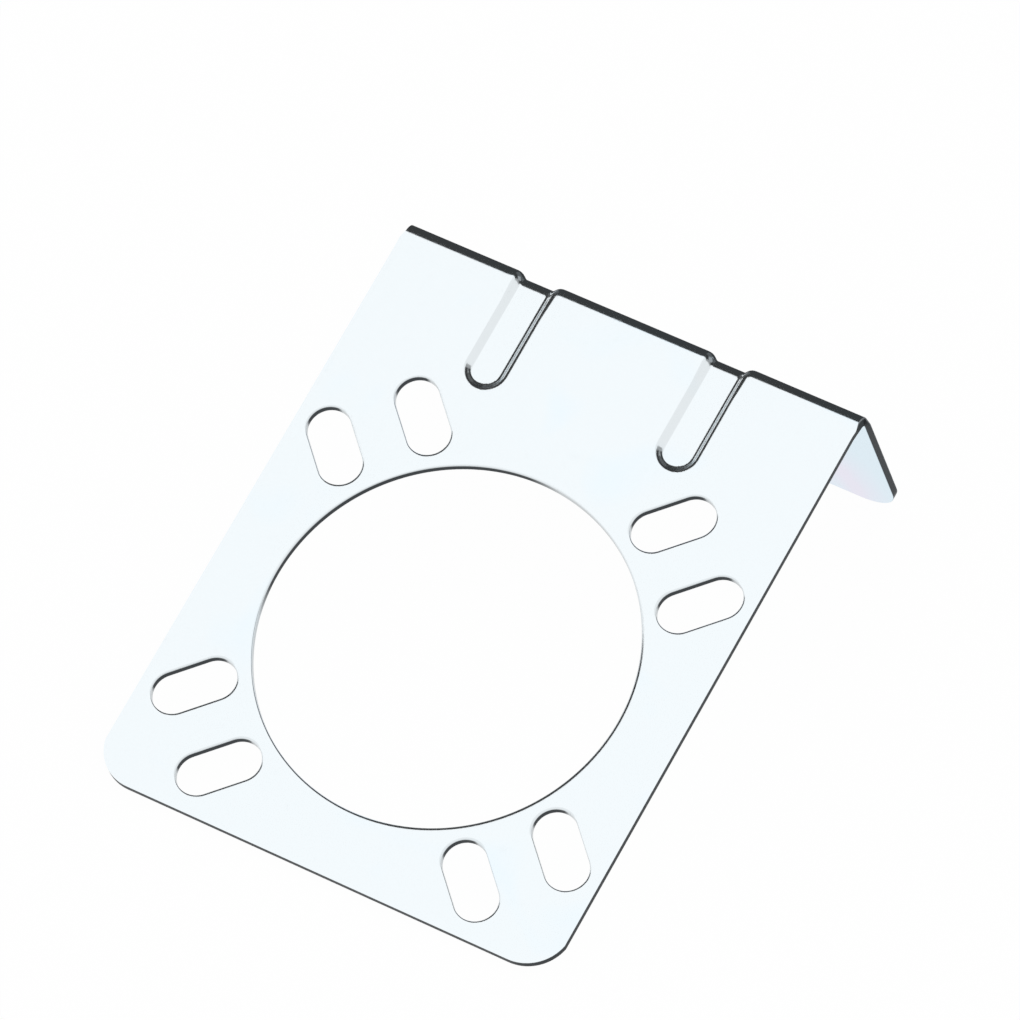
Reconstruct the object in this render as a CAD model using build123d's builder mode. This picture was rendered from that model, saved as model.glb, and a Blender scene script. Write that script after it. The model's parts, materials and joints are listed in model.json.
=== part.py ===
"""Mounting bracket for a round electrical socket: one stamped and folded steel sheet.

The plate carries a large round bore with a pair of slots on each of its four diagonals. The
flange is folded back along the plate's far edge, not quite square, and widens a little down
to its free edge. Two ribs pressed in from the outside run across the bend. The bracket rests
on the plate's near edge and the flange's free edge, as it does when put down, so the plate
leans. The origin is on the ground, below its middle.
"""

import os
from math import atan2, cos, radians, sin, tan

from build123d import *

os.makedirs("parts", exist_ok=True)

# Driving dimensions, in millimetres and degrees
sheet = 1.2  # thickness of the steel
plate_width = 72.6
fold_width = 72.9
flange_width = 73.9  # at its free edge
side_taper = 2.0  # length over which the plate's sides widen, up to the fold
bore_diameter = 54.0  # lets the socket's body through
bore_to_edge = 36.95  # bore's centre to the plate's near edge
bore_to_flange = 54.7  # bore's centre to where the outer faces meet
flange_depth = 32.0  # where the outer faces meet to the flange's free edge
fold_angle = 88.0  # springs back from square
bend_radius = 2.0  # outside of the fold
corner_radius = 6.35
plate_corner_inset = 6.2  # side edge to the centre of the corner's arc

slot_length = 12.25
slot_width = 6.3
slot_reach = 34.6  # bore's centre to the middle of a pair of slots
slot_pitch = 12.9  # between the slots of a pair

rib_spacing = 30.5
rib_mouth = 6.0  # between the walls, at the outer face
rib_depth = 0.65
rib_wall_angle = 44.0  # from the face of the sheet
rib_reach = 19.05  # where the outer faces meet to either end of the rib
rib_bend_radius = 1.9  # floor of the rib, at the fold
rib_floor_radius = 0.4
rib_lip_radius = 1.0
rib_crest_radius = 1.0
rib_root_radius = 0.3

# The fold, seen from the side: along the plate from the bore's centre, and up from its face
fold = radians(fold_angle)
fold_corner = Vector(bore_to_flange, 0)
down_flange = Vector(cos(fold), -sin(fold))
into_flange = Vector(-sin(fold), -cos(fold))
fold_start = bore_to_flange - bend_radius * tan(fold / 2)
free_corner = fold_corner + down_flange * flange_depth
foot = free_corner + into_flange * sheet

# Where the bracket rests
lean = atan2(-sheet - foot.Y, bore_to_edge + foot.X)
near_y = -bore_to_edge * cos(lean)
far_y = free_corner.X * cos(lean) - free_corner.Y * sin(lean)
bore_height = bore_to_edge * sin(lean) + sheet * cos(lean)
bore_centre = Vector(0, -(near_y + far_y) / 2, bore_height)

across = Vector(1, 0, 0)
uphill = Vector(0, cos(lean), sin(lean))
outward = Vector(0, -sin(lean), cos(lean))
off_flange = uphill * sin(fold) + outward * cos(fold)
plate_face = Plane(origin=bore_centre, x_dir=across, z_dir=outward)
side_view = Plane(origin=bore_centre, x_dir=uphill, z_dir=across)
flange_face = Plane(
    origin=bore_centre + uphill * bore_to_flange,
    x_dir=across,
    z_dir=off_flange,
)

# The rib's walls open outwards, and the sheet keeps its thickness through them
rib_flare = 1 / tan(radians(rib_wall_angle))
rib_floor = rib_mouth - 2 * rib_depth * rib_flare
rib_crest = rib_floor + 2 * sheet * tan(radians(rib_wall_angle / 2))
rib_end = rib_reach - rib_mouth / 2 - rib_lip_radius * tan(radians(rib_wall_angle / 2))


def rib_solid(level, bend, floor_width, height, corner_radius):
    """Follow the fold at a level below the outer faces, with walls that open outwards."""
    mouth_width = floor_width + 2 * height * rib_flare
    with BuildSketch(mode=Mode.PRIVATE) as section:
        with BuildLine():
            Polyline(
                (-mouth_width / 2, height),
                (-floor_width / 2, 0),
                (floor_width / 2, 0),
                (mouth_width / 2, height),
                close=True,
            )
        make_face()
        fillet(section.vertices().group_by(Axis.Y)[0], corner_radius)

    last = fold_corner + down_flange * rib_end + into_flange * level
    with BuildPart() as rib:
        with BuildLine(side_view) as route:
            FilletPolyline(
                (bore_to_flange - rib_end, -level),
                (bore_to_flange - level * tan(fold / 2), -level),
                (last.X, last.Y),
                radius=bend,
            )
        start = Plane(origin=route.line @ 0, x_dir=across, z_dir=-(route.line % 0))
        finish = Plane(origin=route.line @ 1, x_dir=across, z_dir=-(route.line % 1))
        with BuildSketch(start):
            add(section.sketch)
        sweep(path=route.line)
        for end, turn in ((start, -1), (finish, 1)):
            with BuildSketch(end):
                add(section.sketch)
                split(bisect_by=Plane.YZ)
            revolve(axis=Axis(end.origin, end.y_dir * turn), revolution_arc=180)
    return rib.part


rib_hollow = rib_solid(rib_depth, rib_bend_radius, rib_floor, 2 * rib_depth, rib_floor_radius)
rib_back = rib_solid(
    rib_depth + sheet,
    rib_bend_radius - sheet,
    rib_crest,
    rib_depth + sheet / 2,
    rib_crest_radius,
)

with BuildPart() as bracket:
    # Folded sheet
    with BuildSketch(side_view):
        with BuildLine():
            FilletPolyline(
                (-bore_to_edge, 0),
                fold_corner,
                free_corner,
                radius=bend_radius,
            )
            offset(amount=sheet, side=Side.RIGHT)
        make_face()
    extrude(amount=flange_width / 2, both=True)

    # Plate's sides, and its near corners, where the tool's arc meets the sides at an angle
    with BuildSketch(plate_face):
        with BuildLine():
            Polyline(
                (plate_width / 2, -bore_to_edge),
                (flange_width / 2, -bore_to_edge),
                (flange_width / 2, fold_start),
                (fold_width / 2, fold_start),
                (plate_width / 2, fold_start - side_taper),
                close=True,
            )
        make_face()
        arc_x = plate_width / 2 - plate_corner_inset
        arc_y = corner_radius - bore_to_edge
        with Locations((arc_x, arc_y)):
            Rectangle(bore_to_edge, bore_to_edge, align=(Align.MIN, Align.MAX))
            Circle(corner_radius, mode=Mode.SUBTRACT)
        mirror(about=Plane.YZ)
    extrude(amount=-2 * sheet, mode=Mode.SUBTRACT)

    # Flange's sides, flared from the fold to its free edge
    with BuildSketch(flange_face):
        with BuildLine():
            Polyline(
                (fold_width / 2, 0),
                (flange_width / 2, 0),
                (flange_width / 2, flange_depth),
                close=True,
            )
        make_face()
        mirror(about=Plane.YZ)
    extrude(amount=-2 * sheet, mode=Mode.SUBTRACT)

    # Free corners of the flange
    through_flange = bracket.edges().filter_by(Axis(bore_centre, off_flange))
    fillet(through_flange.group_by(Axis(bore_centre, outward))[0], corner_radius)

    # Ribs across the bend, raised on the inside and hollow on the outside
    rib_places = Locations((-rib_spacing / 2, 0, 0), (rib_spacing / 2, 0, 0))
    with rib_places:
        add(rib_back)
    fillet(bracket.edges(Select.NEW), rib_root_radius)
    with rib_places:
        add(rib_hollow, mode=Mode.SUBTRACT)
    fillet(bracket.edges(Select.NEW), rib_lip_radius)

    # Bore and slots
    with BuildSketch(plate_face):
        Circle(bore_diameter / 2)
        with PolarLocations(slot_reach, 4, start_angle=45):
            with GridLocations(0, slot_pitch, 1, 2):
                SlotOverall(slot_length, slot_width)
    extrude(amount=-2 * sheet, mode=Mode.SUBTRACT)

bracket.part.label = "bracket"
export_step(bracket.part, "parts/bracket.step")
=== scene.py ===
"""Folded steel bracket for a round electrical socket, zinc plated, on a pale studio floor."""

import json
from math import acos, atan, ceil, cos, pi, radians, sin, tan

import bpy
from bpy.props import FloatProperty, FloatVectorProperty, PointerProperty
from mathutils import Euler, Matrix, Vector
from mathutils.geometry import delaunay_2d_cdt


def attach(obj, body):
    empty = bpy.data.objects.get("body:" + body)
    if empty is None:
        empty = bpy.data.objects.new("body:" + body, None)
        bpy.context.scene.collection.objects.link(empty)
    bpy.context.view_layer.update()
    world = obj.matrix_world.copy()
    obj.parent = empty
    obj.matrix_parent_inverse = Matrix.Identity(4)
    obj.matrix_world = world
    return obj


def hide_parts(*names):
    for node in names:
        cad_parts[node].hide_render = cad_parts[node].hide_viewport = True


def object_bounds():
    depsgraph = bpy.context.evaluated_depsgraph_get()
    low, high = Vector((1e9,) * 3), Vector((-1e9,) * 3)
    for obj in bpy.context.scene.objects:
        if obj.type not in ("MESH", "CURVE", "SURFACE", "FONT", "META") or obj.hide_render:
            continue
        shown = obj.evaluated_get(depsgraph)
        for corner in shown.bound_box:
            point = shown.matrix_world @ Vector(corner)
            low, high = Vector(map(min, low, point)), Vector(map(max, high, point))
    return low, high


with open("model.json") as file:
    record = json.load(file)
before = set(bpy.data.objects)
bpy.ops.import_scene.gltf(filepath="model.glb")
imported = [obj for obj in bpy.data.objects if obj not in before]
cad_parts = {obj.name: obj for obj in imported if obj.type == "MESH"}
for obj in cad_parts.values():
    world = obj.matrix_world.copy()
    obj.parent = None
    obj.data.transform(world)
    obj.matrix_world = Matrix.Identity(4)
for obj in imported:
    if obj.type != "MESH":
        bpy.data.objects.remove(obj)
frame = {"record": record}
cad_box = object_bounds()
bore = next(m for m in frame["record"]["mounts"] if m["name"] == "socket_bore")

bl_info = {
    "name": "Folded Socket Bracket",
    "version": (1, 0, 0),
    "blender": (4, 5, 0),
    "location": "View3D > Sidebar > Bracket",
    "description": "Stamped, folded and zinc-plated bracket for a round socket, with its studio",
    "category": "Add Mesh",
}

MM = 0.001
MATH = "ShaderNodeMath"

# Spacing of the points on the flat blank, fine enough that no curve looks faceted
STRAIGHT_STEP = 1.5 * MM  # along straight edges
FOLDED_STEP = 0.25 * MM  # along the edges that the fold bends
ARC_STEP = 0.5 * MM  # round the bore and the corners
SLOT_ARC_STEP = 0.35 * MM
SLOT_SIDE_STEP = 0.8 * MM
RIB_STEP = 0.27 * MM
FOLD_STEP = 1.0 * MM  # across the sheet, on the rows that the fold bends
FLAT_STEP = 2.5 * MM
LEVEL_STRIP = 0.15 * MM  # between a rolled edge and the rest of the face

# Dark cards round the object: name, turns from +X and heights in degrees, and cloth
FLAGS = (
    ("fold_flag", (97, 124), (0, 36), "Black"),
    ("low_left_flag", (124, 158), (0, 36), "Dark Grey"),
    ("back_left_flag", (104, 150), (36, 62), "Black"),
    ("left_flag", (150, 190), (18, 57), "Black"),
    ("back_flag", (62, 97), (0, 34), "Dark Grey"),
    ("back_right_flag", (42, 104), (34, 64), "Black"),
    ("low_right_flag", (25, 62), (0, 34), "Grey"),
    ("right_flag", (25, 42), (34, 64), "Grey"),
)
CLOTH_LEVELS = {"Black": 1, "Dark Grey": 2.4, "Grey": 8}  # times the stage's flag level
FLAG_DISTANCE = 0.65  # from the origin, in metres

# A black card on the floor behind the flange, seen only in the metal, which mirrors it: painted
# shadow on the white floor. Each corner's x, and its distance behind the object, in metres
FLOOR_SHADOW_CARD = ((0.06, 0.02), (-0.09, 0.012), (-0.42, 0.6), (0.2, 0.6))
FLOOR_HALF_SIDE = 3.0
FLOOR_SHOWN = 0.98  # share of plain white that the floor shows


def linear(hex_code):
    """Turn an sRGB hex colour into the linear colour that Blender's sockets take."""
    channels = [int(hex_code[i : i + 2], 16) / 255 for i in (1, 3, 5)]
    return [c / 12.92 if c <= 0.04045 else ((c + 0.055) / 1.055) ** 2.4 for c in channels] + [1.0]


def add_node(tree, kind, inputs=(), **settings):
    """Add a node with its settings, and its inputs in order or by name.

    A node or a socket among the inputs is linked, and any other value is set.
    """
    node = tree.nodes.new(kind)
    for name, value in settings.items():
        setattr(node, name, value)
    for key, value in inputs.items() if isinstance(inputs, dict) else enumerate(inputs):
        if isinstance(value, bpy.types.Node):
            value = next(s for s in value.outputs if s.enabled)
        if isinstance(value, bpy.types.NodeSocket):
            tree.links.new(value, node.inputs[key])
        else:
            node.inputs[key].default_value = value
    return node


class BracketSizes(bpy.types.PropertyGroup):
    """Sizes that the sheet is cut, pressed and folded to."""

    sheet: FloatProperty(
        name="Sheet", description="Thickness of the steel",
        default=bore["dims"]["length_mm"] * MM, unit="LENGTH",
    )
    plate_width: FloatProperty(
        name="Plate Width", description="Across the plate, side to side",
        default=72.6 * MM, unit="LENGTH",
    )
    fold_width: FloatProperty(
        name="Fold Width", description="Along the fold",
        default=72.9 * MM, unit="LENGTH",
    )
    flange_width: FloatProperty(
        name="Flange Width", description="Along the flange's free edge",
        default=73.9 * MM, unit="LENGTH",
    )
    side_taper: FloatProperty(
        name="Side Taper", description="Length over which the plate's sides widen, up to the fold",
        default=2.0 * MM, unit="LENGTH",
    )
    bore_radius: FloatProperty(
        name="Bore Radius", description="Radius of the large bore",
        default=bore["dims"]["r_mm"] * MM, unit="LENGTH",
    )
    bore_to_edge: FloatProperty(
        name="Bore To Edge", description="Bore's centre to the near edge",
        default=36.95 * MM, unit="LENGTH",
    )
    bore_to_flange: FloatProperty(
        name="Bore To Flange", description="Bore's centre to where the outer faces meet",
        default=54.7 * MM, unit="LENGTH",
    )
    flange_depth: FloatProperty(
        name="Flange Depth", description="From where the outer faces meet to the free edge",
        default=32.0 * MM, unit="LENGTH",
    )
    fold_angle: FloatProperty(
        name="Fold Angle", description="Turn from the plate to the flange",
        default=radians(88.0), subtype="ANGLE",
    )
    fold_radius: FloatProperty(
        name="Fold Radius", description="Outside of the fold",
        default=2.0 * MM, unit="LENGTH",
    )
    corner_radius: FloatProperty(
        name="Corner Radius", description="Rounded corners of plate and flange",
        default=6.35 * MM, unit="LENGTH",
    )
    corner_inset: FloatProperty(
        name="Corner Inset", description="Side edge to the centre of a near corner's arc",
        default=6.2 * MM, unit="LENGTH",
    )
    slot_length: FloatProperty(
        name="Slot Length", description="Overall length of a slot",
        default=12.25 * MM, unit="LENGTH",
    )
    slot_width: FloatProperty(
        name="Slot Width", description="Width of a slot",
        default=6.3 * MM, unit="LENGTH",
    )
    slot_reach: FloatProperty(
        name="Slot Reach", description="Bore's centre to the middle of a pair",
        default=34.6 * MM, unit="LENGTH",
    )
    slot_pitch: FloatProperty(
        name="Slot Pitch", description="Between the slots of a pair",
        default=12.9 * MM, unit="LENGTH",
    )
    rib_spacing: FloatProperty(
        name="Rib Spacing", description="Between the ribs' middles",
        default=30.5 * MM, unit="LENGTH",
    )
    rib_mouth: FloatProperty(
        name="Rib Mouth", description="Between a rib's walls at the outer face",
        default=6.0 * MM, unit="LENGTH",
    )
    rib_depth: FloatProperty(
        name="Rib Depth", description="Depth of a rib",
        default=0.65 * MM, unit="LENGTH",
    )
    rib_wall_angle: FloatProperty(
        name="Rib Wall", description="Slope of a rib's walls",
        default=radians(44.0), subtype="ANGLE",
    )
    rib_reach: FloatProperty(
        name="Rib Reach", description="From where the outer faces meet to either end of a rib",
        default=19.05 * MM, unit="LENGTH",
    )
    rib_floor_radius: FloatProperty(
        name="Floor Radius", description="Where a rib's wall meets its floor",
        default=0.4 * MM, unit="LENGTH",
    )
    rib_lip_radius: FloatProperty(
        name="Lip Radius", description="Where a rib's wall meets the outer face",
        default=1.0 * MM, unit="LENGTH",
    )
    rib_crest_radius: FloatProperty(
        name="Crest Radius", description="Edge of a rib's raised back",
        default=1.0 * MM, unit="LENGTH",
    )
    rib_root_radius: FloatProperty(
        name="Root Radius", description="Foot of a rib's raised back",
        default=0.3 * MM, unit="LENGTH",
    )
    rib_shoulder_radius: FloatProperty(
        name="Shoulder Radius", description="Lip of a rib where it crosses the fold",
        default=2.0 * MM, unit="LENGTH",
    )
    rib_bend_radius: FloatProperty(
        name="Rib Bend", description="Floor of a rib, at the fold",
        default=1.9 * MM, unit="LENGTH",
    )
    outline_roll: FloatProperty(
        name="Outline Roll", description="Width of the rounded edge along the outline",
        default=0.12 * MM, unit="LENGTH",
    )
    die_roll: FloatProperty(
        name="Die Roll", description="Width of the edge that cutting rounds over at a slot",
        default=0.42 * MM, unit="LENGTH",
    )
    bore_roll: FloatProperty(
        name="Bore Roll", description="Width of the rounded edge at the large bore",
        default=0.8 * MM, unit="LENGTH",
    )
    die_drop: FloatProperty(
        name="Die Drop", description="Depth of the rounded edge at a slot",
        default=0.22 * MM, unit="LENGTH",
    )
    draw_in: FloatProperty(
        name="Draw In", description="How far folding pulls in the sheet's ends, outside the fold",
        default=0.42 * MM, unit="LENGTH",
    )
    squeeze: FloatProperty(
        name="Squeeze", description="How far folding pushes them out, inside the fold",
        default=0.03 * MM, unit="LENGTH",
    )


class FinishLook(bpy.types.PropertyGroup):
    """Colours and gloss of the plating."""

    zinc: FloatVectorProperty(
        name="Zinc", description="Plain plated face",
        default=linear("#E4EAED"), size=4, subtype="COLOR",
    )
    cool: FloatVectorProperty(
        name="Cool Tint", description="Where the chromate film looks cyan",
        default=linear("#D9EAF4"), size=4, subtype="COLOR",
    )
    warm: FloatVectorProperty(
        name="Lilac Tint", description="Where the chromate film looks lilac",
        default=linear("#E4E2F0"), size=4, subtype="COLOR",
    )
    # Painted shade: the burnished cut edge's colour is far darker than the face, partly for its thin
    # zinc and partly as painted shade
    sheared_and_painted_shade: FloatVectorProperty(
        name="Sheared Edge", description="Burnished part of the cut edges",
        default=linear("#3F4346"), size=4, subtype="COLOR",
    )
    torn: FloatVectorProperty(
        name="Torn Edge", description="Torn part of the cut edges",
        default=linear("#8A8F92"), size=4, subtype="COLOR",
    )
    # Painted shade: dims a cut edge's reflection at a glance
    glancing: FloatVectorProperty(
        name="Glancing Tint", description="What a cut edge leaves of a glancing reflection",
        default=linear("#CCCCCC"), size=4, subtype="COLOR",
    )
    roughness: FloatProperty(
        name="Roughness", description="Gloss of the faces, 0 is a mirror",
        default=0.13, subtype="FACTOR",
    )


class StageLook(bpy.types.PropertyGroup):
    """Camera, lamp, floor and dark cards."""

    camera_place: FloatVectorProperty(
        name="Camera Place", description="From the bore's centre, across, uphill and outward",
        default=(436.8 * MM, -364.7 * MM, 1156.4 * MM), unit="LENGTH",
    )
    camera_turn: FloatVectorProperty(
        name="Camera Turn", description="Turn of the camera from facing the plate squarely",
        default=(radians(25.123), radians(9.674), radians(28.918)), subtype="EULER",
    )
    lens: FloatProperty(
        name="Lens", description="Focal length in millimetres", default=333.3, unit="CAMERA"
    )
    key_place: FloatVectorProperty(
        name="Key Place", description="Middle of the softbox, which faces the object",
        default=(-0.35, 0.0, 0.85), unit="LENGTH",
    )
    key_size: FloatProperty(
        name="Key Size", description="Side of the softbox", default=0.7, unit="LENGTH"
    )
    key_level: FloatProperty(
        name="Key Level", description="What the softbox adds to white", default=0.17
    )
    fill_level: FloatProperty(
        name="Fill Level", description="Daylight from all around, 1 is white", default=0.85
    )
    flag_level: FloatProperty(
        name="Flag Level", description="Brightness of the darkest cards", default=0.05
    )
    floor_colour: FloatVectorProperty(
        name="Floor", description="Colour of the floor",
        default=linear("#F4F4F4"), size=4, subtype="COLOR",
    )


# ---------------------------------------------------------------------- flat blank

def fold_places(z):
    """Along the flat blank: the fold's start and end, the blank's end, and the fold's setback."""
    setback = z.fold_radius * tan(z.fold_angle / 2)
    fold_start = z.bore_to_flange - setback
    fold_end = fold_start + z.fold_radius * z.fold_angle
    return fold_start, fold_end, fold_end + z.flange_depth - setback, setback


def arc_points(centre, radius, start, end, step):
    """Points along an arc, its first left out."""
    count = max(2, ceil(abs(end - start) * radius / step))
    angles = [start + (end - start) * k / count for k in range(1, count + 1)]
    return [centre + radius * Vector((cos(a), sin(a))) for a in angles]


def line_points(start, end, step):
    """Points along a straight run, its first left out."""
    count = max(1, ceil((end - start).length / step))
    return [start.lerp(end, k / count) for k in range(1, count + 1)]


def blank_outline(z):
    """Outer edge of the flat blank, its material on the left of the walk."""
    fold_start, fold_end, blank_end, _ = fold_places(z)
    half, fold_half, free_half = z.plate_width / 2, z.fold_width / 2, z.flange_width / 2
    near, r = -z.bore_to_edge, z.corner_radius

    # A near corner's arc meets the side at an angle
    arc_middle = Vector((half - z.corner_inset, near + r))
    corner_turn = -acos(z.corner_inset / r)
    kink = arc_middle + r * Vector((cos(corner_turn), sin(corner_turn)))

    # The flange's side flares from a line one flange depth off the free edge
    flare = atan((free_half - fold_half) / z.flange_depth)
    flared = Vector((fold_half, blank_end - z.flange_depth))
    free_middle = Vector((free_half - r * tan(flare) - r / cos(flare), blank_end - r))

    run = [Vector((0, near))]
    run += line_points(run[-1], Vector((arc_middle.x, near)), STRAIGHT_STEP)
    run += arc_points(arc_middle, r, -pi / 2, corner_turn, ARC_STEP)
    run += line_points(kink, Vector((half, fold_start - z.side_taper)), STRAIGHT_STEP)
    run += line_points(run[-1], Vector((fold_half, fold_start)), FOLDED_STEP)
    run += line_points(run[-1], flared, FOLDED_STEP)
    run += line_points(run[-1], flared + (fold_end - flared.y) * Vector((tan(flare), 1)), FOLDED_STEP)
    run += line_points(run[-1], free_middle + r * Vector((cos(flare), -sin(flare))), STRAIGHT_STEP)
    run += arc_points(free_middle, r, -flare, pi / 2, ARC_STEP)
    run += line_points(run[-1], Vector((0, blank_end)), STRAIGHT_STEP)
    return run + [Vector((-p.x, p.y)) for p in reversed(run[1:-1])]


def slot_places(z):
    """Middle and long direction of each slot, two on each diagonal."""
    for quarter in range(4):
        turn = pi / 4 + quarter * pi / 2
        along = Vector((cos(turn), sin(turn)))
        aside = Vector((-along.y, along.x))
        for side in (-1, 1):
            yield along * z.slot_reach + aside * side * z.slot_pitch / 2, along


def slot_outline(middle, along, length, width):
    """Edge of one slot, its material on the left of the walk."""
    radius = width / 2
    reach = along * (length / 2 - radius)
    turn = along.angle_signed(Vector((1, 0)))
    run = arc_points(middle + reach, radius, turn + pi / 2, turn - pi / 2, SLOT_ARC_STEP)
    run += line_points(run[-1], run[-1] - 2 * reach, SLOT_SIDE_STEP)
    run += arc_points(middle - reach, radius, turn - pi / 2, turn - 3 * pi / 2, SLOT_ARC_STEP)
    return run + line_points(run[-1], run[-1] + 2 * reach, SLOT_SIDE_STEP)


def inset(loop, amount):
    """Move a loop into the material on its left."""
    moved = []
    for k, p in enumerate(loop):
        walk = (p - loop[k - 1]).normalized() + (loop[(k + 1) % len(loop)] - p).normalized()
        moved.append(p + Vector((-walk.y, walk.x)).normalized() * amount)
    return moved


def in_hole(z, p, spare):
    """True inside a hole or the edge rolled over round it, or nearer to that than spare."""
    if p.length < z.bore_radius + z.bore_roll + spare:
        return True
    reach = z.slot_length / 2 - z.slot_width / 2
    for middle, along in slot_places(z):
        offset = p - middle
        slide = min(max(offset.dot(along), -reach), reach)
        if (offset - along * slide).length < z.slot_width / 2 + z.die_roll + spare:
            return True
    return False


def in_outline(z, p, spare):
    """True inside the blank's outer edge by more than spare."""
    fold_start, _, blank_end, _ = fold_places(z)
    half = (z.fold_width if p.y > fold_start else z.plate_width) / 2
    if abs(p.x) > half - spare or not -z.bore_to_edge + spare < p.y < blank_end - spare:
        return False
    r = z.corner_radius
    near = Vector((abs(p.x), p.y)) - Vector((z.plate_width / 2 - z.corner_inset, r - z.bore_to_edge))
    free = Vector((abs(p.x), p.y)) - Vector((z.flange_width / 2 - r, blank_end - r))
    past_near = near.x > 0 and near.y < 0 and near.length > r - spare
    past_free = free.x > 0 and free.y > 0 and free.length > r - spare
    return not (past_near or past_free)


def inner_points(z):
    """Points inside the blank: fine on the ribs, in rows along the fold, and sparse on the flats."""
    fold_start, fold_end, blank_end, setback = fold_places(z)
    rib_low = z.bore_to_flange - z.rib_reach - 1 * MM
    rib_high = fold_end + z.rib_reach - setback + 1 * MM
    rib_half = z.rib_mouth / 2 + 2.2 * MM  # with its lip, which is widest at the shoulders
    columns, rows = ceil(rib_half / RIB_STEP), ceil((rib_high - rib_low) / RIB_STEP)
    points = [
        Vector((side * z.rib_spacing / 2 + column * RIB_STEP, rib_low + row * RIB_STEP))
        for side in (-1, 1)
        for column in range(-columns, columns + 1)
        for row in range(rows)
    ]

    def off_ribs(p):
        return abs(abs(p.x) - z.rib_spacing / 2) >= rib_half or not rib_low < p.y < rib_high

    rows_on_fold, rows_beside = 14, 5
    row_step = z.fold_radius * z.fold_angle / rows_on_fold
    columns = ceil(z.fold_width / 2 / FOLD_STEP)
    fold_rows = [
        Vector((column * FOLD_STEP, fold_start + row * row_step))
        for row in range(-rows_beside, rows_on_fold + rows_beside + 1)
        for column in range(-columns, columns + 1)
    ]
    columns = ceil(z.flange_width / 2 / FLAT_STEP)
    flats = [
        Vector((column * FLAT_STEP, row * FLAT_STEP))
        for column in range(-columns, columns + 1)
        for row in range(-ceil(z.bore_to_edge / FLAT_STEP), ceil(blank_end / FLAT_STEP) + 1)
    ]
    flats = [p for p in flats if not fold_start - 2 * MM < p.y < fold_end + 2 * MM]
    points += [p for p in fold_rows + flats if off_ribs(p)]
    spare = LEVEL_STRIP + 0.2 * MM
    points = [p for p in points if in_outline(z, p, z.outline_roll + spare)]
    return [p for p in points if not in_hole(z, p, spare)]


def face_triangles(z, loops, rolls):
    """Triangulate a face between walls that stand a level strip inside each rolled edge.

    Returns its points and triangles, and where each wall's points are among them.
    """
    wall_points, walls = [], []
    for loop, roll in zip(loops, rolls):
        first = len(wall_points)
        wall_points += inset(loop, roll + LEVEL_STRIP)
        walls += [(first + k, first + (k + 1) % len(loop)) for k in range(len(loop))]
    inside_walls, nearest = 1, 1e-7
    points, _, faces, origins, _, _ = delaunay_2d_cdt(
        wall_points + inner_points(z), walls, [], inside_walls, nearest
    )
    place = {old: new for new, olds in enumerate(origins) for old in olds}
    centres = [sum((points[k] for k in f), Vector((0, 0))) / 3 for f in faces]
    spare = LEVEL_STRIP + 0.02 * MM
    return points, [f for f, c in zip(faces, centres) if not in_hole(z, c, spare)], place


def edge_roll_and_painted_light(z, loop, deep, outer):
    """At each point of an edge: its share of the edge colour, its share of the roll, and a painted
    highlight near the fold.

    The punch for a hole sat a little off its die, so one side of each hole is hardly rolled and the
    other is rolled most. Walls that face +x and away from the fold take the dark edge colour in full,
    and the others keep most of the face's bright colour: painted shade and painted light by which way
    a wall faces. Near the fold the outline's cut depth is raised as a painted highlight, so it shows
    paler there.
    """
    if outer:
        fold_start, fold_end, _, _ = fold_places(z)
        fold_middle = (fold_start + fold_end) / 2
        # Painted highlight: near the fold's middle the outline's cut depth is raised, so its edge
        # shows paler
        painted_fold_highlight = [0.2 * max(0.0, 1 - abs(p.y - fold_middle) / (4 * MM)) for p in loop]
        return [1.0] * len(loop), [1.0] * len(loop), painted_fold_highlight
    # Painted shade and light: walls facing +x and away from the fold take the dark edge colour in
    # full, and walls facing elsewhere keep most of the face's bright colour
    painted_shade_side = Vector((0.755, -0.656))
    facing = [(p - q).normalized().dot(painted_shade_side) for p, q in zip(loop, deep)]
    torn = [min(1.0, max(0.3, (f - 0.5) / 0.2)) for f in facing]
    return torn, [min(1.0, max(0.15, 0.35 - 0.65 * f)) for f in facing], [0.0] * len(loop)


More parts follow.
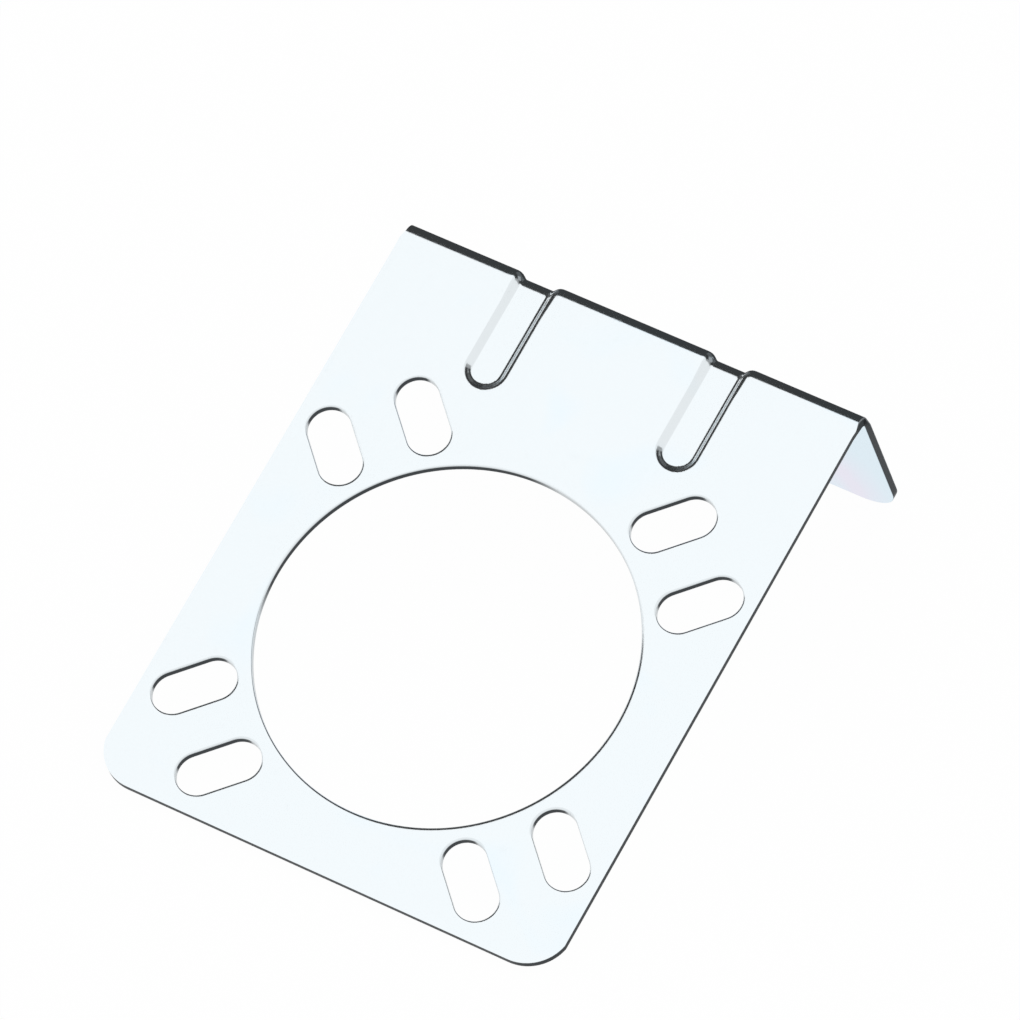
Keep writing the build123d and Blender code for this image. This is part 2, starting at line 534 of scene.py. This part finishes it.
def blank_mesh(z, name):
    """Cut the blank: two skins, and between them edges that the die rolls over and shears."""
    loops = [blank_outline(z)]
    loops.append(arc_points(Vector((0, 0)), z.bore_radius, 0, -2 * pi, ARC_STEP))
    loops += [slot_outline(m, a, z.slot_length, z.slot_width) for m, a in slot_places(z)]
    rolls = [z.outline_roll, z.bore_roll] + [z.die_roll] * (len(loops) - 2)
    points, triangles, place = face_triangles(z, loops, rolls)
    under = len(points)
    coords = [(p.x, p.y, 0) for p in points] + [(p.x, p.y, -z.sheet) for p in points]
    polygons = [tuple(f) for f in triangles]
    polygons += [tuple(under + k for k in reversed(f)) for f in triangles]
    cut_depth_and_painted_highlight = [0.0] * len(coords)
    sheared_and_painted_shade = [0.0] * sum(len(f) for f in polygons)

    # Edges: a punch enters the outer face, rolls a hole's edge over there, and shears and tears the
    # rest of the way. The blank is itself what a punch drops through a die, so the outline is rolled
    # over on the inside instead
    roll_turns = [radians(22.5 * k) for k in range(5)]
    shear_rows = 4
    first = 0
    for loop, roll in zip(loops, rolls):
        outer = loop is loops[0]
        count = len(loop)
        deep = inset(loop, 1 * MM)
        torn, roll_shares, painted_fold_highlight = edge_roll_and_painted_light(z, loop, deep, outer)
        drop = z.die_drop * min(1.3, roll / z.die_roll)
        rows = [(roll * (1 - sin(a)), drop * (1 - cos(a))) for a in roll_turns]
        rows += [(0, drop + (z.sheet - drop) * k / shear_rows) for k in range(1, shear_rows + 1)]
        rings = [[place[first + k] for k in range(count)]]
        cuts = [z.sheet if outer else 0.0]
        for back, cut in reversed(rows) if outer else rows:
            rings.append(list(range(len(coords), len(coords) + count)))
            cuts.append(cut)
            depth = z.sheet - cut if outer else cut
            for p, q, share in zip(loop, deep, roll_shares):
                coords.append((*p.lerp(q, share * back / MM), -depth))
            # Cut depth, raised near the fold as a painted highlight
            cut_depth_and_painted_highlight += [cut / z.sheet * (1 + more) for more in painted_fold_highlight]
        rings.append([under + k for k in rings[0]])
        cuts.append(0.0 if outer else z.sheet)
        # Each point's share of the edge colour: the roll and shear, times the painted shade and light
        # by which way the wall faces
        for (upper, upper_cut), (lower, lower_cut) in zip(zip(rings, cuts), zip(rings[1:], cuts[1:])):
            # The level strip beside a roll isn't sheared
            level = upper_cut == lower_cut
            high, low = (0.0 if level else min(1.0, c / drop) ** 2 for c in (upper_cut, lower_cut))
            for k in range(count):
                n = (k + 1) % count
                polygons.append((upper[k], lower[k], lower[n], upper[n]))
                sheared_and_painted_shade += [high * torn[k], low * torn[k], low * torn[n], high * torn[n]]
        first += count

    # The bracket hung by its plate in the bath, so film gathers down the flange, less at its sides
    fold_start, _, blank_end, _ = fold_places(z)
    bath_depth = []
    for x, s, _ in coords:
        hung = max(0.0, (s - fold_start) / (blank_end - fold_start))
        side = min(1.0, max(0.0, (abs(x) - 26 * MM) / (11 * MM)))
        side *= side * (3 - 2 * side)
        bath_depth.append(0.75 * hung**0.6 - 0.42 * side * hung)

    mesh = bpy.data.meshes.new(name)
    mesh.from_pydata(coords, [], polygons)
    # The edge colour's share carries the painted shade and light by which way each wall faces
    mesh.attributes.new("sheared_and_painted_shade", "FLOAT", "CORNER").data.foreach_set("value", sheared_and_painted_shade)
    # The cut depth carries the painted highlight near the fold
    mesh.attributes.new("cut_depth_and_painted_highlight", "FLOAT", "POINT").data.foreach_set("value", cut_depth_and_painted_highlight)
    mesh.attributes.new("bath_depth", "FLOAT", "POINT").data.foreach_set("value", bath_depth)
    mesh.validate()
    return mesh


# ---------------------------------------------------------------------- pressing and folding

def press_and_fold_tree():
    """Geometry Nodes: press the ribs into a flat blank, fold it, and stand it where it rests."""
    tree = bpy.data.node_groups.new("Press Ribs And Fold", "GeometryNodeTree")
    tree.interface.new_socket("Geometry", in_out="OUTPUT", socket_type="NodeSocketGeometry")
    tree.interface.new_socket("Blank", in_out="INPUT", socket_type="NodeSocketGeometry")
    lengths = (
        "Sheet", "Fold Width", "Fold Start", "Fold Radius", "Rib Spacing", "Rib Mouth", "Rib Depth",
        "Rib Low End", "Rib High End", "Floor Radius", "Lip Radius", "Crest Radius", "Root Radius",
        "Shoulder Radius", "Rib Bend Radius", "Draw In", "Squeeze",
    )
    for names, subtype in ((lengths, "DISTANCE"), (("Fold Angle", "Rib Wall", "Lean"), "ANGLE")):
        for name in names:
            socket = tree.interface.new_socket(name, in_out="INPUT", socket_type="NodeSocketFloat")
            socket.subtype = subtype
    tree.interface.new_socket("Bore Centre", in_out="INPUT", socket_type="NodeSocketVector")
    tree.interface.new_socket("Finish", in_out="INPUT", socket_type="NodeSocketMaterial")
    given = add_node(tree, "NodeGroupInput").outputs

    # Flat blank: x across it, s along it from the bore's centre, and depth below its outer face
    position = add_node(tree, "GeometryNodeInputPosition")
    at = add_node(tree, "ShaderNodeSeparateXYZ", (position,)).outputs
    x, s = at["X"], at["Y"]
    depth = add_node(tree, MATH, (at["Z"], -1), operation="MULTIPLY")
    part_way = add_node(tree, MATH, (depth, given["Sheet"]), operation="DIVIDE")
    side = add_node(tree, MATH, (x,), operation="SIGN")
    off_middle = add_node(tree, MATH, (x,), operation="ABSOLUTE")

    # How near the fold, from 0 well away to 1 on it, for the ribs' shoulders and the sheet's ends
    length = add_node(tree, MATH, (given["Fold Radius"], given["Fold Angle"]), operation="MULTIPLY")
    half_fold = add_node(tree, MATH, (length, 0.5), operation="MULTIPLY")
    fold_middle = add_node(tree, MATH, (given["Fold Start"], half_fold), operation="ADD")
    past_fold = add_node(tree, MATH, (s, fold_middle), operation="SUBTRACT")
    off_fold = add_node(tree, MATH, (past_fold,), operation="ABSOLUTE")
    ribs_rounded, ends_pulled = (
        add_node(
            tree, "ShaderNodeMapRange",
            {"Value": off_fold, "From Min": whole, "From Max": none, "To Min": 1.0, "To Max": 0.0},
            interpolation_type="SMOOTHSTEP",
        )
        for whole, none in ((1.5 * MM, 6.0 * MM), (1.0 * MM, 2.8 * MM))
    )

    # Ribs: a wall of steady slope round each rib's middle line
    half_spacing = add_node(tree, MATH, (given["Rib Spacing"], 0.5), operation="MULTIPLY")
    aside = add_node(tree, MATH, (off_middle, half_spacing), operation="SUBTRACT")
    not_below = add_node(tree, MATH, (s, given["Rib Low End"]), operation="MAXIMUM")
    on_line = add_node(tree, MATH, (not_below, given["Rib High End"]), operation="MINIMUM")
    past_end = add_node(tree, MATH, (s, on_line), operation="SUBTRACT")
    off_line = add_node(tree, "ShaderNodeCombineXYZ", (aside, past_end))
    distance = add_node(tree, "ShaderNodeVectorMath", (off_line,), operation="LENGTH")
    half_wall = add_node(tree, MATH, (given["Rib Wall"], 0.5), operation="MULTIPLY")
    half_turn = add_node(tree, MATH, (half_wall,), operation="TANGENT")
    slope = add_node(tree, MATH, (given["Rib Wall"],), operation="TANGENT")
    half_mouth = add_node(tree, MATH, (given["Rib Mouth"], 0.5), operation="MULTIPLY")
    half_mouth = add_node(tree, MATH, (depth, half_turn, half_mouth), operation="MULTIPLY_ADD")
    inside_mouth = add_node(tree, MATH, (half_mouth, distance.outputs["Value"]), operation="SUBTRACT")
    wall = add_node(tree, MATH, (inside_mouth, slope), operation="MULTIPLY")

    # The wall is blended at its foot and its lip, each with a radius for the outer face and another
    # for the inside. A blend is 1.2 times as high as the wall rises over such an arc's tangent
    arc_rise = add_node(tree, MATH, (slope, half_turn), operation="MULTIPLY")
    blend_scale = add_node(tree, MATH, (arc_rise, 1.2), operation="MULTIPLY")
    more = add_node(tree, MATH, (given["Shoulder Radius"], given["Lip Radius"]), operation="SUBTRACT")
    lip = add_node(tree, MATH, (ribs_rounded, more, given["Lip Radius"]), operation="MULTIPLY_ADD")
    more = add_node(tree, MATH, (given["Crest Radius"], given["Floor Radius"]), operation="SUBTRACT")
    foot = add_node(tree, MATH, (part_way, more, given["Floor Radius"]), operation="MULTIPLY_ADD")
    more = add_node(tree, MATH, (given["Root Radius"], lip), operation="SUBTRACT")
    lip = add_node(tree, MATH, (part_way, more, lip), operation="MULTIPLY_ADD")
    foot_blend = add_node(tree, MATH, (foot, blend_scale), operation="MULTIPLY")
    lip_blend = add_node(tree, MATH, (lip, blend_scale), operation="MULTIPLY")
    floored = add_node(tree, MATH, (given["Rib Depth"], wall, foot_blend), operation="SMOOTH_MIN")
    pressed = add_node(tree, MATH, (0.0, floored, lip_blend), operation="SMOOTH_MAX")
    level = add_node(tree, MATH, (depth, pressed), operation="ADD")

    # Fold: a straight run, an arc about the fold's centre, and a straight run again. The ribs'
    # floors fold to a radius of their own, so their arc starts sooner and ends later
    sharper = add_node(tree, MATH, (given["Fold Radius"], given["Rib Depth"]), operation="SUBTRACT")
    wider = add_node(tree, MATH, (given["Rib Bend Radius"], sharper), operation="SUBTRACT")
    wider = add_node(tree, MATH, (wider, given["Rib Depth"]), operation="DIVIDE")
    wider = add_node(tree, MATH, (wider, pressed), operation="MULTIPLY")
    arc_radius = add_node(tree, MATH, (given["Fold Radius"], wider), operation="ADD")
    half_angle = add_node(tree, MATH, (given["Fold Angle"], 0.5), operation="MULTIPLY")
    setback = add_node(tree, MATH, (half_angle,), operation="TANGENT")
    sooner = add_node(tree, MATH, (wider, setback), operation="MULTIPLY")
    half_arc = add_node(tree, MATH, (half_fold, sooner), operation="ADD")
    arc_start = add_node(tree, MATH, (fold_middle, half_arc), operation="SUBTRACT")
    arc_end = add_node(tree, MATH, (fold_middle, half_arc), operation="ADD")
    into_arc = add_node(tree, MATH, (s, arc_start), operation="SUBTRACT")
    whole_arc = add_node(tree, MATH, (half_arc, 2), operation="MULTIPLY")
    share = add_node(tree, MATH, (into_arc, whole_arc), operation="DIVIDE", use_clamp=True)
    turn = add_node(tree, MATH, (share, given["Fold Angle"]), operation="MULTIPLY")
    turn_sine = add_node(tree, MATH, (turn,), operation="SINE")
    turn_cosine = add_node(tree, MATH, (turn,), operation="COSINE")
    fold_sine = add_node(tree, MATH, (given["Fold Angle"],), operation="SINE")
    fold_cosine = add_node(tree, MATH, (given["Fold Angle"],), operation="COSINE")
    radius = add_node(tree, MATH, (arc_radius, level), operation="SUBTRACT")
    before = add_node(tree, MATH, (s, arc_start), operation="MINIMUM")
    after = add_node(tree, MATH, (s, arc_end), operation="SUBTRACT")
    after = add_node(tree, MATH, (after, 0.0), operation="MAXIMUM")
    along = add_node(tree, MATH, (radius, turn_sine, before), operation="MULTIPLY_ADD")
    along = add_node(tree, MATH, (after, fold_cosine, along), operation="MULTIPLY_ADD")
    centre = add_node(tree, MATH, (arc_radius, -1), operation="MULTIPLY")
    height = add_node(tree, MATH, (radius, turn_cosine, centre), operation="MULTIPLY_ADD")
    drop = add_node(tree, MATH, (after, fold_sine), operation="MULTIPLY")
    height = add_node(tree, MATH, (height, drop), operation="SUBTRACT")

    # Folding stretches the outside and squeezes the inside, so the sheet's ends lean there
    edge = add_node(tree, MATH, (given["Fold Width"], 0.5), operation="MULTIPLY")
    pull_start = add_node(tree, MATH, (edge, 3.5 * MM), operation="SUBTRACT")
    near_end = add_node(
        tree, "ShaderNodeMapRange",
        {"Value": off_middle, "From Min": pull_start, "From Max": edge, "To Min": 0.0, "To Max": 1.0},
        interpolation_type="SMOOTHSTEP",
    )
    both = add_node(tree, MATH, (given["Draw In"], given["Squeeze"]), operation="ADD")
    less = add_node(tree, MATH, (both, part_way), operation="MULTIPLY")
    pull = add_node(tree, MATH, (given["Draw In"], less), operation="SUBTRACT")
    here = add_node(tree, MATH, (near_end, ends_pulled), operation="MULTIPLY")
    pull = add_node(tree, MATH, (pull, here), operation="MULTIPLY")
    pull = add_node(tree, MATH, (pull, side), operation="MULTIPLY")
    drawn = add_node(tree, MATH, (x, pull), operation="SUBTRACT")

    folded = add_node(tree, "ShaderNodeCombineXYZ", (drawn, along, height))
    leaned = add_node(
        tree, "ShaderNodeVectorRotate", {"Vector": folded, "Angle": given["Lean"]},
        rotation_type="X_AXIS",
    )
    place = add_node(tree, "ShaderNodeVectorMath", (leaned, given["Bore Centre"]), operation="ADD")
    shaped = add_node(
        tree, "GeometryNodeSetPosition", {"Geometry": given["Blank"], "Position": place}
    )

    # Smooth all over, but for edges that turn more than 40 degrees
    smooth = add_node(tree, "GeometryNodeSetShadeSmooth", {"Geometry": shaped, "Shade Smooth": True})
    edge_angle = add_node(tree, "GeometryNodeInputMeshEdgeAngle").outputs["Unsigned Angle"]
    corner = add_node(tree, MATH, (edge_angle, radians(40)), operation="GREATER_THAN")
    creased = add_node(
        tree, "GeometryNodeSetShadeSmooth",
        {"Geometry": smooth, "Selection": corner, "Shade Smooth": False}, domain="EDGE",
    )
    real = add_node(tree, "GeometryNodeRealizeInstances", {"Geometry": creased})
    finished = add_node(
        tree, "GeometryNodeSetMaterial", {"Geometry": real, "Material": given["Finish"]}
    )
    add_node(tree, "NodeGroupOutput", {"Geometry": finished})
    return tree


def bake(blank, tree, values):
    """Run a tree over a blank with its inputs set by identifier, and return the plain mesh."""
    bpy.context.scene.collection.objects.link(blank)
    modifier = blank.modifiers.new(tree.name, "NODES")
    modifier.node_group = tree
    for item in tree.interface.items_tree:
        if item.in_out == "INPUT" and item.name in values:
            modifier[item.identifier] = values[item.name]
    graph = bpy.context.evaluated_depsgraph_get()
    mesh = bpy.data.meshes.new_from_object(
        blank.evaluated_get(graph), preserve_all_data_layers=True, depsgraph=graph
    )
    blank.modifiers.remove(modifier)
    bpy.data.objects.remove(blank)
    return mesh


# ---------------------------------------------------------------------- finishes

def new_material(name):
    """Add a material, and empty its node tree."""
    material = bpy.data.materials.new(name)
    material.use_nodes = True
    material.node_tree.nodes.clear()
    return material, material.node_tree


def bright_zinc_plate(look):
    """Bright zinc plate with a clear blue chromate, over rolled and stamped steel.

    Plating on a rack leaves a smooth mirror-like grey-white face that blurs what it reflects, with
    a faint film of cyan and lilac. Cut edges took less zinc, so they stay duller and torn, and their
    colour is painted darker as shade.
    """
    material, tree = new_material("Bright Zinc Plate")
    where = add_node(tree, "ShaderNodeTexCoord").outputs["Object"]

    # Chromate film: it thickens down the flange, which hung lowest in the bath, and drifts over
    # 10 to 20 mm. Where it is thin it is nearly clear, and then it turns cyan, lilac and cyan again
    bath_depth = add_node(tree, "ShaderNodeAttribute", attribute_name="bath_depth").outputs["Fac"]
    drift = add_node(
        tree, "ShaderNodeTexNoise",
        {"Vector": where, "Scale": 1 / (16 * MM), "Detail": 2.0, "Roughness": 0.5, "Distortion": 0.4},
    )
    film = add_node(tree, MATH, (drift.outputs["Fac"], 0.3, bath_depth), operation="MULTIPLY_ADD")
    tint = add_node(tree, "ShaderNodeValToRGB", {"Fac": film})
    ramp = tint.color_ramp
    ramp.elements[0].position, ramp.elements[0].color = 0.17, look.zinc
    ramp.elements[1].position, ramp.elements[1].color = 0.32, look.cool
    for place, colour in ((0.50, look.cool), (0.74, look.warm), (0.82, look.warm), (1.00, look.cool)):
        ramp.elements.new(place).color = colour

    # Rolling marks: hairlines along the sheet 0.1 mm apart, drawn 0.35 mm apart so that they show
    stretched = add_node(
        tree, "ShaderNodeMapping",
        {"Vector": where, "Scale": (1 / (0.35 * MM), 1 / (14 * MM), 1 / (14 * MM))},
    )
    hairlines = add_node(
        tree, "ShaderNodeTexNoise", {"Vector": stretched, "Scale": 1.0, "Detail": 2.0}
    )

    # Plating grain: crystals of a few micrometres, drawn 0.5 mm across so that they show
    grain = add_node(
        tree, "ShaderNodeTexNoise",
        {"Vector": where, "Scale": 1 / (0.5 * MM), "Detail": 3.0, "Roughness": 0.6},
    )

    # Handling marks, about 1 mm across and sparse
    marks = add_node(
        tree, "ShaderNodeTexNoise", {"Vector": where, "Scale": 1 / (2.2 * MM), "Detail": 4.0}
    )
    marked = add_node(
        tree, "ShaderNodeMapRange",
        {"Value": marks.outputs["Fac"], "From Min": 0.66, "From Max": 0.78,
         "To Min": 0.0, "To Max": 0.08},
    )
    face_rough = add_node(
        tree, "ShaderNodeMapRange",
        {"Value": grain.outputs["Fac"], "From Min": 0.3, "From Max": 0.7,
         "To Min": look.roughness - 0.03, "To Max": look.roughness + 0.03},
    )
    face_rough = add_node(tree, MATH, (face_rough, marked), operation="ADD")

    # Cut edge: smooth where the die burnished it, its colour painted dark as shade, and in patches
    # near the far face torn and paler, with tears about 0.3 mm across
    sheared_and_painted_shade = add_node(tree, "ShaderNodeAttribute", attribute_name="sheared_and_painted_shade").outputs["Fac"]
    cut = add_node(tree, "ShaderNodeAttribute", attribute_name="cut_depth_and_painted_highlight").outputs["Fac"]
    tear = add_node(
        tree, "ShaderNodeTexNoise", {"Vector": where, "Scale": 1 / (0.3 * MM), "Detail": 3.0}
    )
    # Near the fold the outline's cut depth is raised as a painted highlight, so it turns paler there
    ragged = add_node(tree, MATH, (tear.outputs["Fac"], 0.3, cut), operation="MULTIPLY_ADD")
    torn = add_node(
        tree, "ShaderNodeMapRange", {"Value": ragged, "From Min": 1.04, "From Max": 1.14},
        interpolation_type="SMOOTHSTEP",
    )
    edge_rough = add_node(tree, "ShaderNodeMapRange", {"Value": torn, "To Min": 0.30, "To Max": 0.5})

    # Faces and cut edges together. A Mix node's inputs are its factor, 0, and its two values: 6 and
    # 7 for colours, 2 and 3 for numbers. A cut edge's glancing reflection is also dimmed, as painted
    # shade
    edge_shade = add_node(
        tree, "ShaderNodeMix", {0: torn, 6: look.sheared_and_painted_shade, 7: look.torn}, data_type="RGBA"
    ).outputs[2]
    colour = add_node(
        tree, "ShaderNodeMix", {0: sheared_and_painted_shade, 6: tint.outputs["Color"], 7: edge_shade}, data_type="RGBA"
    ).outputs[2]
    glancing = add_node(
        tree, "ShaderNodeMix", {0: sheared_and_painted_shade, 6: (1.0, 1.0, 1.0, 1.0), 7: look.glancing},
        data_type="RGBA",
    ).outputs[2]
    rough = add_node(
        tree, "ShaderNodeMix", {0: sheared_and_painted_shade, 2: face_rough, 3: edge_rough}, data_type="FLOAT"
    ).outputs[0]

    # Relief: rolled sheet is a little wavy over centimetres, with hairlines, grain and tears on it
    wave = add_node(
        tree, "ShaderNodeTexNoise", {"Vector": where, "Scale": 1 / (9 * MM), "Detail": 1.0}
    )
    tears = add_node(tree, MATH, (tear.outputs["Fac"], sheared_and_painted_shade), operation="MULTIPLY")
    relief = {}
    for height, rise in (
        (wave.outputs["Fac"], 0.012 * MM),
        (hairlines.outputs["Fac"], 0.0006 * MM),
        (grain.outputs["Fac"], 0.0012 * MM),
        (tears, 0.03 * MM),
    ):
        values = {"Height": height, "Distance": rise, "Strength": 1.0, **relief}
        relief = {"Normal": add_node(tree, "ShaderNodeBump", values)}
    steel = add_node(
        tree, "ShaderNodeBsdfPrincipled",
        {"Base Color": colour, "Metallic": 1.0, "Roughness": rough, "Specular Tint": glancing,
         **relief},
    )
    add_node(tree, "ShaderNodeOutputMaterial", {"Surface": steel})
    return material


def seen_factor(tree):
    """Add the factor that is 1 where the camera or a reflection looks, and 0 for other light."""
    path = add_node(tree, "ShaderNodeLightPath").outputs
    seen = add_node(tree, MATH, (path["Is Camera Ray"], path["Is Glossy Ray"]), operation="MAXIMUM")
    return add_node(tree, MATH, (seen, path["Is Transmission Ray"]), operation="MAXIMUM")


def studio_floor(look):
    """Matt white sweep: it shows as white, and still takes a soft shadow."""
    material, tree = new_material("Studio Floor")
    shown = add_node(tree, MATH, (seen_factor(tree), FLOOR_SHOWN), operation="MULTIPLY")
    matt = add_node(tree, "ShaderNodeBsdfDiffuse", {"Color": look.floor_colour})
    white = add_node(tree, "ShaderNodeEmission", {"Strength": 1.0})
    mixed = add_node(tree, "ShaderNodeMixShader", (shown, matt, white))
    add_node(tree, "ShaderNodeOutputMaterial", {"Surface": mixed})
    return material


def flag_cloth(shade, level):
    """Cloth that a studio hangs where bright metal should go darker."""
    material, tree = new_material(shade + " Cloth")
    dark = add_node(tree, "ShaderNodeEmission", {"Strength": level})
    add_node(tree, "ShaderNodeOutputMaterial", {"Surface": dark})
    return material


# ---------------------------------------------------------------------- operators

def add_object(name, data):
    """Link a new object that stands at the origin."""
    thing = bpy.data.objects.new(name, data)
    bpy.context.scene.collection.objects.link(thing)
    return thing


def panel_object(name, coords, faces, material):
    """Add a floor or card from its corners."""
    mesh = bpy.data.meshes.new(name)
    mesh.from_pydata(coords, [], faces)
    mesh.materials.append(material)
    return add_object(name, mesh)


def curved_flag(name, turns, heights, cloth):
    """Hang a card round the object, between two turns from +X and two heights, in degrees."""
    across, up = 16, 8
    coords = []
    for row in range(up + 1):
        height = radians(heights[0] + (heights[1] - heights[0]) * row / up)
        for column in range(across + 1):
            turn = radians(turns[0] + (turns[1] - turns[0]) * column / across)
            way = Vector((cos(height) * cos(turn), cos(height) * sin(turn), sin(height)))
            coords.append(FLAG_DISTANCE * way)
    faces = []
    for row in range(up):
        for column in range(across):
            low = row * (across + 1) + column
            faces.append((low, low + across + 1, low + across + 2, low + 1))
    return panel_object(name, coords, faces, cloth)


class BRACKET_OT_sheet(bpy.types.Operator):
    """Cut, press and fold the sheet, and stand it in for the plain solid"""

    bl_idname = "bracket.make_sheet"
    bl_label = "Make Folded Sheet"

    def execute(self, context):
        z = context.scene.bracket_sizes
        fold_start, fold_end, _, setback = fold_places(z)
        rib_end = z.rib_reach - z.rib_mouth / 2 - z.rib_lip_radius * tan(z.rib_wall_angle / 2)
        outward = Vector(bore["axis"])
        values = {
            "Sheet": z.sheet,
            "Fold Width": z.fold_width,
            "Fold Start": fold_start,
            "Fold Radius": z.fold_radius,
            "Fold Angle": z.fold_angle,
            "Rib Spacing": z.rib_spacing,
            "Rib Mouth": z.rib_mouth,
            "Rib Depth": z.rib_depth,
            "Rib Wall": z.rib_wall_angle,
            "Rib Low End": z.bore_to_flange - rib_end,
            "Rib High End": fold_end + rib_end - setback,
            "Floor Radius": z.rib_floor_radius,
            "Lip Radius": z.rib_lip_radius,
            "Crest Radius": z.rib_crest_radius,
            "Root Radius": z.rib_root_radius,
            "Shoulder Radius": z.rib_shoulder_radius,
            "Rib Bend Radius": z.rib_bend_radius,
            "Draw In": z.draw_in,
            "Squeeze": z.squeeze,
            "Lean": outward.angle(Vector((0, 0, 1))),
            "Bore Centre": Vector(bore["pos_m"]) + outward * z.sheet / 2,
            "Finish": bright_zinc_plate(context.scene.bracket_finish),
        }
        blank = bpy.data.objects.new("blank", blank_mesh(z, "blank"))
        folded = bake(blank, press_and_fold_tree(), values)
        if not folded.polygons:
            raise RuntimeError("the sheet came out empty")
        folded.name = "folded_sheet"
        piece = add_object("folded_sheet", folded)
        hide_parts("bracket")
        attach(piece, "root")
        return {"FINISHED"}


class BRACKET_OT_stage(bpy.types.Operator):
    """Set up the floor, softbox, dark cards and camera"""

    bl_idname = "bracket.make_stage"
    bl_label = "Make Stage"

    def execute(self, context):
        scene = context.scene
        look = scene.bracket_stage
        side = FLOOR_HALF_SIDE
        corners = [(-side, -side, 0), (side, -side, 0), (side, side, 0), (-side, side, 0)]
        floor = panel_object("floor", corners, [(0, 1, 2, 3)], studio_floor(look))

        cloths = {shade: flag_cloth(shade, look.flag_level * k) for shade, k in CLOTH_LEVELS.items()}
        flags = [
            curved_flag(name, turns, heights, cloths[shade]) for name, turns, heights, shade in FLAGS
        ]
        # Painted shadow: a black card on the floor behind the flange, which only the metal sees
        corners = [(x, cad_box[1].y + y, 0.5 * MM) for x, y in FLOOR_SHADOW_CARD]
        flags.append(panel_object("painted_shadow_card", corners, [(0, 3, 2, 1)], cloths["Black"]))
        for flag in flags:
            flag.visible_camera = False
            flag.visible_diffuse = False
            flag.visible_shadow = False

        # Daylight: plain white where it is seen, and a little less where it lights the object
        world = bpy.data.worlds.new("Studio")
        scene.world = world
        world.use_nodes = True
        tree = world.node_tree
        tree.nodes.clear()
        fill, white = (
            add_node(tree, "ShaderNodeBackground", {"Color": (1, 1, 1, 1), "Strength": strength})
            for strength in (look.fill_level, 1.0)
        )
        mixed = add_node(tree, "ShaderNodeMixShader", (seen_factor(tree), fill, white))
        add_node(tree, "ShaderNodeOutputWorld", {"Surface": mixed})

        lamp = bpy.data.lights.new("softbox", "AREA")
        lamp.size = look.key_size
        lamp.energy = look.key_level * pi * look.key_size**2
        softbox = add_object("softbox", lamp)
        softbox.location = look.key_place
        softbox.rotation_euler = (-softbox.location).to_track_quat("-Z", "Y").to_euler()

        # Camera: placed from the middle of the bore, on the plate's outer face
        outward = Vector(bore["axis"])
        face_centre = Vector(bore["pos_m"]) + outward * bore["dims"]["length_mm"] * MM / 2
        lean = Matrix.Rotation(outward.angle(Vector((0, 0, 1))), 4, "X")
        view = Matrix.Translation(look.camera_place) @ Euler(look.camera_turn).to_matrix().to_4x4()
        lens = bpy.data.cameras.new("camera")
        lens.lens = look.lens
        camera = add_object("camera", lens)
        camera.matrix_world = Matrix.Translation(face_centre) @ lean @ view
        scene.camera = camera
        scene.view_settings.view_transform = "Standard"
        return {"FINISHED"}


class BRACKET_PT_panel(bpy.types.Panel):
    """Sizes and finish of the bracket"""

    bl_label = "Folded Bracket"
    bl_idname = "BRACKET_PT_panel"
    bl_space_type = "VIEW_3D"
    bl_region_type = "UI"
    bl_category = "Bracket"

    def draw(self, context):
        for group, operator in (
            (context.scene.bracket_sizes, BRACKET_OT_sheet),
            (context.scene.bracket_finish, None),
            (context.scene.bracket_stage, BRACKET_OT_stage),
        ):
            box = self.layout.box()
            for name in group.__annotations__:
                box.prop(group, name)
            if operator:
                box.operator(operator.bl_idname)


CLASSES = (BracketSizes, FinishLook, StageLook, BRACKET_OT_sheet, BRACKET_OT_stage, BRACKET_PT_panel)


def register():
    """Make the sizes, operators and panel known to Blender."""
    for cls in CLASSES:
        bpy.utils.register_class(cls)
    bpy.types.Scene.bracket_sizes = PointerProperty(type=BracketSizes)
    bpy.types.Scene.bracket_finish = PointerProperty(type=FinishLook)
    bpy.types.Scene.bracket_stage = PointerProperty(type=StageLook)


def unregister():
    """Take them away again."""
    del bpy.types.Scene.bracket_stage
    del bpy.types.Scene.bracket_finish
    del bpy.types.Scene.bracket_sizes
    for cls in reversed(CLASSES):
        bpy.utils.unregister_class(cls)


def main():
    register()
    bpy.ops.bracket.make_sheet()
    bpy.ops.bracket.make_stage()


if __name__ == "__main__":
    main()
